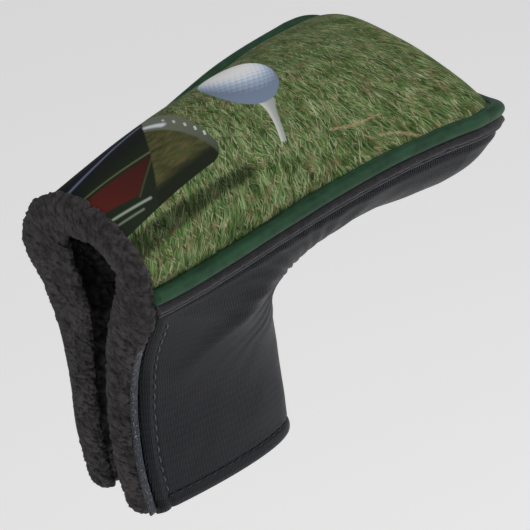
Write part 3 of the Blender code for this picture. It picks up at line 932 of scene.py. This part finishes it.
def fold_line(sign):
    """Two points of the line on which a flap folds: sign 1 is the front."""
    joint = next(j for j in frame["joints"] if j["child"] == f"{SIDES[sign]}_flap")
    upper = Vector((HEEL_X, -(HEEL_HALF_WIDTH + HINGE_OFFSET) * sign, HEEL_EDGE_Z - PANEL_DROP))
    lower_out = HINGE_FOOT_Y * NECK_HALF_WIDTH + HINGE_OFFSET
    lower = Vector((HEM_FRONT_X, -lower_out * sign, HEM_Z + HINGE_FOOT_RISE))
    return upper, lower, joint


def follow_flap(piece, sign):
    """Bakes the piece's placement into its mesh; the fold's line is worked out, but the piece is not bent
    across it.
    """
    upper, lower, joint = fold_line(sign)
    run = lower - upper
    to_flap = Vector((run.z, 0, -run.x)).normalized()
    middle = (upper + lower) / 2
    middle - to_flap * FOLD_HALF
    middle + to_flap * FOLD_HALF
    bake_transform(piece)


# ---------------------------------------------------------------- pieces

def finished(piece, material):
    piece.data.materials.append(material)
    return piece


def arc_across(grid):
    """Arc length across a grid of the top, from its centre line."""
    reach = np.cumsum(np.linalg.norm(np.diff(grid, axis=1), axis=2), axis=1)
    reach = np.hstack((np.zeros((len(grid), 1)), reach))
    return reach - reach[:, [grid.shape[1] // 2]]


def puffed(grid):
    """The top with its back half filled out towards the toe."""
    across = grid[..., 1] / grid[:, -1:, 1]
    back = np.clip(across, 0, 1)
    end = 1 - rise(grid[..., 0], TOE_X - 0.0045, TOE_X - 0.0022)
    lift = BACK_PUFF * np.sin(math.pi * back ** 2) * rise(grid[..., 0], -0.012, 0.030) * end
    lift += TOE_PUFF * (1 - across ** 2) * rise(grid[..., 0], TOE_X - 0.022, TOE_X - 0.008) * end
    return grid + lift[..., None] * (0, 0, 1)


def make_top(materials):
    outer = puffed(top_surface(0.0))
    v = arc_across(outer)
    cloth = np.stack([outer[..., 0], v, 0 * v], -1)
    slack = value_noise(outer, 0.013, 3) * TOP_SLACK
    from_edge = np.minimum(v - v[:, :1], v[:, -1:] - v)
    pucker = value_noise(outer * (1, 0.2, 0.2), 0.0032, 5) * TOP_PUCKER * np.exp(-from_edge / 0.003)
    rounded = TOP_ROUNDING * np.exp(-from_edge / TOP_ROUNDING)
    up = grid_normals(outer)
    up *= np.sign(up[..., 2:] + 1e-9)
    face = outer + up * (slack + pucker - rounded)[..., None]
    inner = puffed(top_surface(PANEL))
    panel = layer_mesh("printed_top", face, inner, {"cloth": (cloth, cloth)})
    finished(panel, materials["print"])
    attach(panel, "shell")
    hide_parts("top_panel")
    grid_areas(outer)

    depth = PANEL + CLEARANCE
    pad = layer_mesh("foam_pad", top_surface(depth), top_surface(depth + PADDING), {})
    finished(pad, materials["foam"])
    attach(pad, "shell")
    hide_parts("top_padding")

    depth += PADDING + CLEARANCE
    upper = top_surface(depth)
    lower = top_surface(depth + TOP_LINING)
    height = pile(lower, 31)
    down = grid_normals(lower)
    down *= -np.sign(down[..., 2:] + 1e-9)
    lower = lower + down * (height - 0.55)[..., None] * CEILING_PILE
    lining = layer_mesh("fleece_ceiling", upper, lower, {
        "rest": (upper, lower), "pile": (0 * height + 0.4, height)})
    finished(lining, materials["lining_fleece_painted_lighter"])
    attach(lining, "shell")
    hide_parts("top_lining")


def grid_areas(grid):
    """Area of a grid of points, in square metres."""
    a = np.linalg.norm(np.cross(grid[1:, 1:] - grid[:-1, :-1], grid[1:, :-1] - grid[:-1, 1:]), axis=-1)
    return float(a.sum() / 2)


def reach_from_edge(grid):
    """Arc length along each row of a side, from its outer edge."""
    steps = np.linalg.norm(np.diff(grid[:, ::-1], axis=1), axis=2)
    return np.hstack((np.zeros((len(grid), 1)), np.cumsum(steps, axis=1)))[:, ::-1]


def cloth_of(grid):
    """Flat coordinates of a side: each row is unrolled in the direction it leaves the edge."""
    away = grid[:, 0] - grid[:, -1]
    away = away[:, [0, 2]] / np.maximum(np.linalg.norm(away[:, [0, 2]], axis=1), 1e-9)[:, None]
    reach = reach_from_edge(grid)
    flat = grid[:, -1][:, None, [0, 2]] + away[:, None] * reach[..., None]
    return np.stack([flat[..., 0], flat[..., 1], 0 * reach], -1)


def outward(grid):
    """Normals of a front side's grid that point away from its inside."""
    normal = grid_normals(grid)
    flip = np.sign(np.sum(normal * (0, -1, -0.35), axis=-1, keepdims=True) + 1e-9)
    return normal * flip


def side_relief(grid, reach):
    """How far the vinyl stands out: creases at the inner corner, slack and the side's soft fold."""
    x, z = grid[..., 0], grid[..., 2]
    dx, dz = x - CORNER_X, z - (UNDERSIDE_Z - 0.004)
    away = np.hypot(dx, dz)
    angle = np.arctan2(dz, -dx)
    creases = np.sin(angle * 21 + 3 * value_noise(grid, 0.011, 41)) * np.exp(-away / 0.017)
    creases *= rise(away, 0.001, 0.006) * CREASE_HEIGHT
    drag = np.sin(x / 0.0042 + 2.2 * value_noise(grid, 0.016, 43)) * rise(x, 0.000, 0.014)
    drag *= DRAG_HEIGHT * rise(reach, 0.004, 0.012)
    loose = value_noise(grid, 0.022, 47) * 0.0004 + value_noise(grid, 0.0075, 48) * 0.00012
    puff = SEAM_PUFF * np.exp(-((reach - 0.0030) / 0.0024) ** 2)
    run_x, run_z = RIDGE_END[0] - RIDGE_START[0], RIDGE_END[1] - RIDGE_START[1]
    share = ((x - RIDGE_START[0]) * run_x + (z - RIDGE_START[1]) * run_z) / (run_x ** 2 + run_z ** 2)
    across = ((x - RIDGE_START[0]) * run_z - (z - RIDGE_START[1]) * run_x) / math.hypot(run_x, run_z)
    ridge = RIDGE_HEIGHT * np.exp(-(across / 0.0055) ** 2)
    ridge *= rise(share, -0.2, 0.3) * (1 - rise(share, 0.7, 1.5))
    return creases + drag + loose + puff + ridge


def make_side(materials, sign):
    side = SIDES[sign]
    outer = side_surface(0.0, PANEL_DROP)
    inner = side_surface(SIDE_PANEL, PANEL_DROP)
    cloth = cloth_of(outer)
    reach = reach_from_edge(outer)
    from_hem = outer[..., 2] - outer[-1:, :, 2]
    normal = outward(outer)
    relief = side_relief(outer, reach)
    neck = np.zeros((len(outer), 1))
    neck[BLADE_SIDE_ROWS:] = rise(np.arange(len(outer) - BLADE_SIDE_ROWS), 0, 12)[:, None]
    relief = relief * rise(reach, 0.0, 0.003) * rise(from_hem, 0.0, 0.008)
    relief *= rise(-outer[..., 1], 0.0003, 0.0045)
    hem_groove = np.exp(-((from_hem - HEM_DEPTH) / GROOVE_WIDTH) ** 2) * GROOVE_DEPTH
    hem_swell = np.exp(-((from_hem - 0.0022) / 0.0016) ** 2) * 0.00035
    edge_groove = np.exp(-((reach - EDGE_STITCH_INSET) / GROOVE_WIDTH) ** 2) * GROOVE_DEPTH * neck
    edge_swell = np.exp(-((reach - 0.0026) / 0.0016) ** 2) * 0.0004 * neck
    relief = relief + hem_swell + edge_swell - hem_groove - edge_groove
    over = np.maximum(FOLDED_RADIUS - np.minimum(reach, from_hem), 0)
    rounded = FOLDED_RADIUS - np.sqrt(np.maximum(FOLDED_RADIUS ** 2 - over ** 2, 0))
    face = outer + normal * (relief - rounded)[..., None]
    face[:, 0, 1] = -CLEARANCE / 2
    if sign < 0:
        outer, inner, face, normal = (mirrored(g) for g in (outer, inner, face, normal))
    panel = layer_mesh(f"{side}_vinyl", face, inner, {"cloth": (cloth, cloth), "rest": (face, inner)})
    finished(panel, materials["vinyl"])
    follow_flap(panel, sign)
    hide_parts(f"{side}_side_panel", f"{side}_flap_panel")

    rows = slice(BLADE_SIDE_ROWS + 6, None)
    edge_path = stitch_path(face[rows], reach[rows], EDGE_STITCH_INSET)
    keep = edge_path[:, 2] > HEM_Z + HEM_RISE + HEM_DEPTH
    edge_thread = stitches(f"{side}_edge_stitches", edge_path[keep], normal[rows, 40][keep], *EDGE_STITCH)
    hem_path, hem_normal = level_path(face, normal, HEM_DEPTH, reach, EDGE_STITCH_INSET)
    hem_thread = stitches(f"{side}_hem_stitches", hem_path, hem_normal, *HEM_STITCH)
    finished(edge_thread, materials["pale_thread"])
    finished(hem_thread, materials["dark_thread"])
    for thread in (edge_thread, hem_thread):
        follow_flap(thread, sign)
    grid_areas(outer)


def stitch_path(grid, reach, inset):
    """The line on each row at a given distance from the edge."""
    points = []
    for row, reached in zip(grid, reach):
        points.append([np.interp(inset, reached[::-1], column[::-1]) for column in row.T])
    return np.array(points)


def level_path(grid, normal, level, reach, inset):
    """The line round the neck at a level, from the stitched heel edge to the centre seam."""
    last = grid[-45:]
    points, normals = [], []
    for j in range(grid.shape[1] - 1, -1, -2):
        column = last[:, j]
        order = np.argsort(column[:, 2])
        if reach[-20, j] < inset:
            continue
        here = column[-1, 2] + level
        points.append([np.interp(here, column[order, 2], column[order, k]) for k in range(3)])
        normals.append(normal[-20, j])
    return np.array(points), np.array(normals)


def stitches(name, path, normals, pitch, length):
    """A row of thread dashes that dip into the cloth at both ends."""
    reach = reach_along(path)
    count = int((reach[-1] - length) // pitch) + 1
    rings, faces, sides, steps = [], [], 7, 7
    for number in range(count):
        s = np.linspace(number * pitch, number * pitch + length, steps)
        centre = np.stack([np.interp(s, reach, column) for column in path.T], -1)
        out = np.stack([np.interp(s, reach, column) for column in normals.T], -1)
        out /= np.linalg.norm(out, axis=1)[:, None]
        arch = np.sin(np.linspace(0, math.pi, steps))
        centre = centre + out * (arch * 0.00042 - 0.00014)[:, None]
        thick = THREAD_RADIUS * (0.45 + 0.55 * np.sqrt(arch))
        turns = circle(sides)
        section = np.stack([np.cos(turns), np.sin(turns)], -1)[None] * thick[:, None, None]
        first = len(rings) * steps * sides
        rings.append(sweep(centre, out, section).reshape(-1, 3))
        faces += tube_faces(steps, sides, first)
    points = np.vstack(rings)
    return make_mesh(name, points, faces, {"rest": points}, sharp=False)


def make_lining(materials, sign):
    side = SIDES[sign]
    outer = side_surface(SIDE_LINING_INSET, STACK_LIFT)
    inner = side_surface(SIDE_LINING_INSET + SIDE_LINING, STACK_LIFT)
    height = pile(inner, 53 if sign > 0 else 67)
    inwards = -outward(inner)
    calm = rise(-inner[..., 1], 0.0005, 0.0030)
    inner = inner + inwards * ((height - 0.45) * LINING_PILE * calm)[..., None]
    if sign < 0:
        outer, inner = mirrored(outer), mirrored(inner)
    piece = layer_mesh(f"{side}_fleece", outer, inner, {
        "rest": (outer, inner), "pile": (0 * height + 0.4, height)})
    finished(piece, materials["lining_fleece_painted_lighter"])
    follow_flap(piece, sign)
    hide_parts(f"{side}_side_lining", f"{side}_flap_lining")


def edge_rings(section):
    """A section of (out, up) points carried from the front of the heel round the toe to the back."""
    sides = []
    for out, up in section:
        front = np.stack(top_edge(-out), -1) * (1, -1, 1) + (0, 0, up)
        sides.append(np.vstack((front, mirrored(front)[-2::-1])))
    return np.stack(sides, 1)


def make_edges(materials):
    def arc(radius, height, count, backwards=False):
        half_slit = math.asin(height / radius)
        turns = np.linspace(math.pi - half_slit, half_slit - math.pi, count)
        points = [(radius * math.cos(t), radius * math.sin(t)) for t in turns]
        return points[::-1] if backwards else points

    leaf_end = -PIPING_RADIUS - FLANGE
    section = [(leaf_end, CLEARANCE / 2), (leaf_end, LEAF_HALF)]
    section += arc(PIPING_RADIUS, LEAF_HALF, 33)
    section += [(leaf_end, -LEAF_HALF), (leaf_end, -CLEARANCE / 2)]
    section += arc(PIPING_RADIUS - FABRIC, CLEARANCE / 2, 21, backwards=True)
    rings = edge_rings(section)
    rings[..., 2] += value_noise(rings * (1, 1, 0.4), 0.010, 71) * 0.00016
    cover = tube_mesh("green_piping", rings, {"rest": rings})
    finished(cover, materials["piping"])
    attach(cover, "shell")
    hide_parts("piping_cover")

    turns = circle(32)
    for sign, side in SIDES.items():
        rings = [[(HEEL_X - out, -sign * HEEL_HALF_WIDTH + radius * math.cos(t),
                   HEEL_EDGE_Z + radius * math.sin(t)) for t in turns]
                 for out, radius in PIPING_END]
        rings = np.array(rings)
        turned_in = tube_mesh(f"{side}_piping_end", rings, {"rest": rings})
        finished(turned_in, materials["piping"])
        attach(turned_in, "shell")

    top, bottom = -WELT_DROP, -WELT_DROP - WELT_HEIGHT
    outer, inner = -CLEARANCE, -CLEARANCE - WELT_THICKNESS
    heights = np.linspace(top, bottom - 0.0003, 14)
    bulge = WELT_BULGE * np.sin(np.linspace(0.25, math.pi - 0.15, 14)) ** 0.7
    section = [(outer + b, h) for h, b in zip(heights, bulge)] + [(inner, bottom), (inner, top)]
    rings = edge_rings(section)
    fuzz = pile(rings, 73) - 0.5
    centre = rings.mean(axis=1, keepdims=True)
    outwards = rings - centre
    outwards /= np.linalg.norm(outwards, axis=-1, keepdims=True)
    rings = rings + outwards * (fuzz * 0.00065)[..., None]
    welt = tube_mesh("felt_welt", rings, {"rest": rings})
    finished(welt, materials["felt"])
    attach(welt, "shell")
    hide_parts("seam_welt")

    # a thin tube under the welt, coloured with paler felt as painted highlight where the welt's edge
    # catches the light
    turns = circle(10)
    section = [(outer + TAPE_OUT + TAPE_RADIUS * math.cos(t),
                bottom - TAPE_DROP + TAPE_RADIUS * math.sin(t)) for t in turns]
    rings = edge_rings(section)
    rings[..., 2] += value_noise(rings, 0.006, 75) * 0.00010
    tape = tube_mesh("welt_tape", rings, {"rest": rings})
    finished(tape, materials["tape"])
    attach(tape, "shell")


def roll_path(sign):
    """Centre line of the fleece roll on one side, from the top of the heel's arch down the open edge."""
    arch = top_surface(CUFF_WIDTH / 2 - ROLL_OVERHANG)[0]
    middle = len(arch) // 2
    arch = arch[middle::-1].copy()
    arch[:, 0] = HEEL_X - CUFF_THICKNESS / 2 - CLEARANCE + ROLL_OVERHANG
    edge = side_surface(0.0, PANEL_DROP)[BLADE_SIDE_ROWS:, -1]
    offset = (FLAP_CUFF_THICKNESS / 2 + CLEARANCE, BINDING_THICKNESS + CLEARANCE + FLAP_CUFF_WIDTH / 2)
    down = sweep(edge, HEELWARD, np.array([offset]))[:, 0]
    down = down[down[:, 2] < arch[-1, 2] - 0.006]
    path = np.vstack((arch, down))
    path = along(path, np.linspace(0, 1, 400))
    for _ in range(30):
        path[1:-1] = (path[:-2] + 2 * path[1:-1] + path[2:]) / 4
    return path if sign > 0 else mirrored(path)


def make_roll(materials, sign):
    """Fleece rolled over the open edge, from the arch's crown down to the hem."""
    side = SIDES[sign]
    path = roll_path(sign)
    share = np.linspace(0, 1, ROLL_POINTS)
    path = along(path, share)
    seed = 81 if sign > 0 else 83
    blend = rise(share, 0.25, 0.55)
    end = 1 - np.clip((share - 0.965) / 0.035, 0, 1) ** 2
    start = 1 - np.clip((0.02 - share) / 0.02, 0, 1) ** 2 * (0.0 if sign > 0 else 0.6)
    size = (1 + 0.10 * value_noise(path, 0.016, seed)) * np.sqrt(np.maximum(end * start, 0.02))
    half_out = (ROLL_HALF_THICKNESS + (FLAP_ROLL_HALF_THICKNESS - ROLL_HALF_THICKNESS) * blend) * size
    half_up = (CUFF_WIDTH / 2 + (FLAP_CUFF_WIDTH - CUFF_WIDTH) / 2 * blend) * size
    turns = circle(ROLL_SIDES)
    spare = (0.0016 if sign > 0 else 0.0056) * rise(share, 0.06, 0.24) * (1 - rise(share, 0.38, 0.64))
    shoulder = (0.0008 if sign > 0 else 0.0026) * np.exp(-((share - 0.25) / 0.07) ** 2)
    half_up = half_up + (spare + shoulder) / 2
    section = np.stack([np.cos(turns) * half_out[:, None],
                        np.sin(turns) * half_up[:, None] + sign * (spare - shoulder)[:, None] / 2], -1)
    rings = sweep(path, HEELWARD, section)
    normal = rings - path[:, None]
    normal = normal / np.maximum(np.linalg.norm(normal, axis=-1, keepdims=True), 1e-9)
    height = pile(rings, 91 if sign > 0 else 97)
    stand = (height - 0.42) * ROLL_PILE * np.sqrt(np.maximum(end, 0))[:, None]
    rings = rings + normal * stand[..., None]
    piece = tube_mesh(f"{side}_fleece_roll", rings, {"rest": rings, "pile": height})
    finished(piece, materials["fleece"])
    follow_flap(piece, sign)
    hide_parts(f"{side}_flap_cuff", *(["heel_cuff"] if sign > 0 else []))


def make_binding(materials, sign):
    side = SIDES[sign]
    edge = side_surface(0.0, PANEL_DROP)[BLADE_SIDE_ROWS:, -1]
    upper = fold_line(1)[0]
    edge = edge[edge[:, 2] < upper.z - CUFF_WIDTH / 2]
    path = along(edge - (CLEARANCE, 0, 0), np.linspace(0, 0.975, 260))
    corner = 0.00045
    far_x, far_y = BINDING_WIDTH - corner, BINDING_THICKNESS - corner
    turns = np.linspace(0, math.pi / 2, 6)
    section = []
    for cx, cy, first in ((far_x, corner, -math.pi / 2), (far_x, far_y, 0),
                          (corner, far_y, math.pi / 2), (corner, corner, math.pi)):
        section += [(cx + corner * math.cos(first + t), cy + corner * math.sin(first + t)) for t in turns]
    rings = sweep(path, HEELWARD, np.array(section))
    rings[..., 1] += value_noise(rings, 0.0016, 101) * 0.00012
    if sign < 0:
        rings = mirrored(rings)
    piece = tube_mesh(f"{side}_glossy_binding", rings, {"rest": rings})
    finished(piece, materials["binding"])
    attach(piece, f"{side}_flap")
    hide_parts(f"{side}_flap_binding")


# ---------------------------------------------------------------- studio

CAMERA_AZIMUTH, CAMERA_ELEVATION, CAMERA_ROLL = -42.376, 33.854, 0.17
CAMERA_DISTANCE = 0.961
CAMERA_LENS = 233.6
CAMERA_TARGET = (0.0, 0.0, -0.049)
CAMERA_AIM = (0.00284, -0.00190)     # how far right and up of the target the camera looks
FLOOR_Z = -0.42
FLOOR_HALF = 4
FLOOR_GLOW = 0.36
WORLD_LIGHT = 0.27
LIGHTS = (    # name, place, size and power
    ("key", (0.25, -0.55, 0.75), 0.45, 4.4),
    ("left_fill", (-0.9, -0.35, 0.35), 0.6, 2.2),
    ("low_right", (0.75, -0.45, -0.18), 0.5, 2.2),
)
LIGHTS_AIM = (0, 0, -0.05)


def make_camera():
    a, e, roll = (math.radians(v) for v in (CAMERA_AZIMUTH, CAMERA_ELEVATION, CAMERA_ROLL))
    back = Vector((math.sin(a) * math.cos(e), -math.cos(a) * math.cos(e), math.sin(e)))
    level = Vector((math.cos(a), math.sin(a), 0))
    upright = back.cross(level)
    right = level * math.cos(roll) + upright * math.sin(roll)
    up = upright * math.cos(roll) - level * math.sin(roll)
    place = Vector(CAMERA_TARGET) + back * CAMERA_DISTANCE
    aim = Vector(CAMERA_TARGET) + right * CAMERA_AIM[0] + up * CAMERA_AIM[1]
    towards = (place - aim).normalized()
    right = up.cross(towards).normalized()
    up = towards.cross(right)
    data = bpy.data.cameras.new("camera")
    data.lens = CAMERA_LENS
    data.clip_start, data.clip_end = 0.05, 20
    camera = add_object("camera", data)
    camera.matrix_world = Matrix.Translation(place) @ Matrix((right, up, towards)).transposed().to_4x4()
    bpy.context.scene.camera = camera


def make_light(name, place, size, power):
    data = bpy.data.lights.new(name, "AREA")
    data.size = size
    data.energy = power
    light = add_object(name, data)
    light.location = place
    light.rotation_mode = "QUATERNION"
    light.rotation_quaternion = (Vector(place) - Vector(LIGHTS_AIM)).to_track_quat("Z", "Y")


def make_studio():
    world = bpy.data.worlds.new("studio")
    world.use_nodes = True
    world.node_tree.nodes["Background"].inputs[0].default_value = (1, 1, 1, 1)
    world.node_tree.nodes["Background"].inputs[1].default_value = WORLD_LIGHT
    bpy.context.scene.world = world
    bpy.context.scene.view_settings.view_transform = "Standard"
    for light in LIGHTS:
        make_light(*light)
    mesh = bpy.data.meshes.new("floor")
    corners = [(x * FLOOR_HALF, y * FLOOR_HALF, FLOOR_Z) for x, y in ((-1, -1), (1, -1), (1, 1), (-1, 1))]
    mesh.from_pydata(corners, [], [(0, 1, 2, 3)])
    floor = add_object("floor", mesh)
    finish = Finish("pale_floor")
    place = finish.node("ShaderNodeTexCoord").outputs["Object"]
    cloudy = finish.noise(place, scale=2.0)
    colour = finish.ramp(cloudy, [(0.0, rgb(226, 226, 226)), (1.0, rgb(230, 230, 230))])
    finish.set(Base_Color=colour, Roughness=0.9, Emission_Color=(1, 1, 1, 1), Emission_Strength=FLOOR_GLOW)
    floor.data.materials.append(finish.material)


def main():
    materials = {
        "print": print_finish(),
        "vinyl": vinyl_finish(),
        "fleece": fleece_finish(),
        # a paler copy of the charcoal fleece: painted light that brightens the shaded lining inside the
        # hollow
        "lining_fleece_painted_lighter": fleece_finish("charcoal_lining_painted_lighter", (40, 39, 40), (176, 170, 172)),
        "felt": felt_finish(),
        # a paler copy of the welt felt: painted highlight along the welt's lower edge
        "tape": felt_finish("tape_edge_painted_highlight", (46, 47, 52), (104, 105, 110)),
        "piping": piping_finish(),
        "binding": binding_finish(),
        "foam": foam_finish(),
        "pale_thread": thread_finish("pale_thread", (44, 47, 54), (92, 96, 104)),
        "dark_thread": thread_finish("dark_thread", (8, 8, 10), (24, 24, 28)),
    }
    make_camera()
    make_studio()
    make_top(materials)
    make_edges(materials)
    for sign in SIDES:
        make_side(materials, sign)
        make_lining(materials, sign)
        make_roll(materials, sign)
        make_binding(materials, sign)
    cord = frame["nodes"]["piping_cord"]
    cord.data.materials.clear()
    cord.data.materials.append(cord_finish())


main()
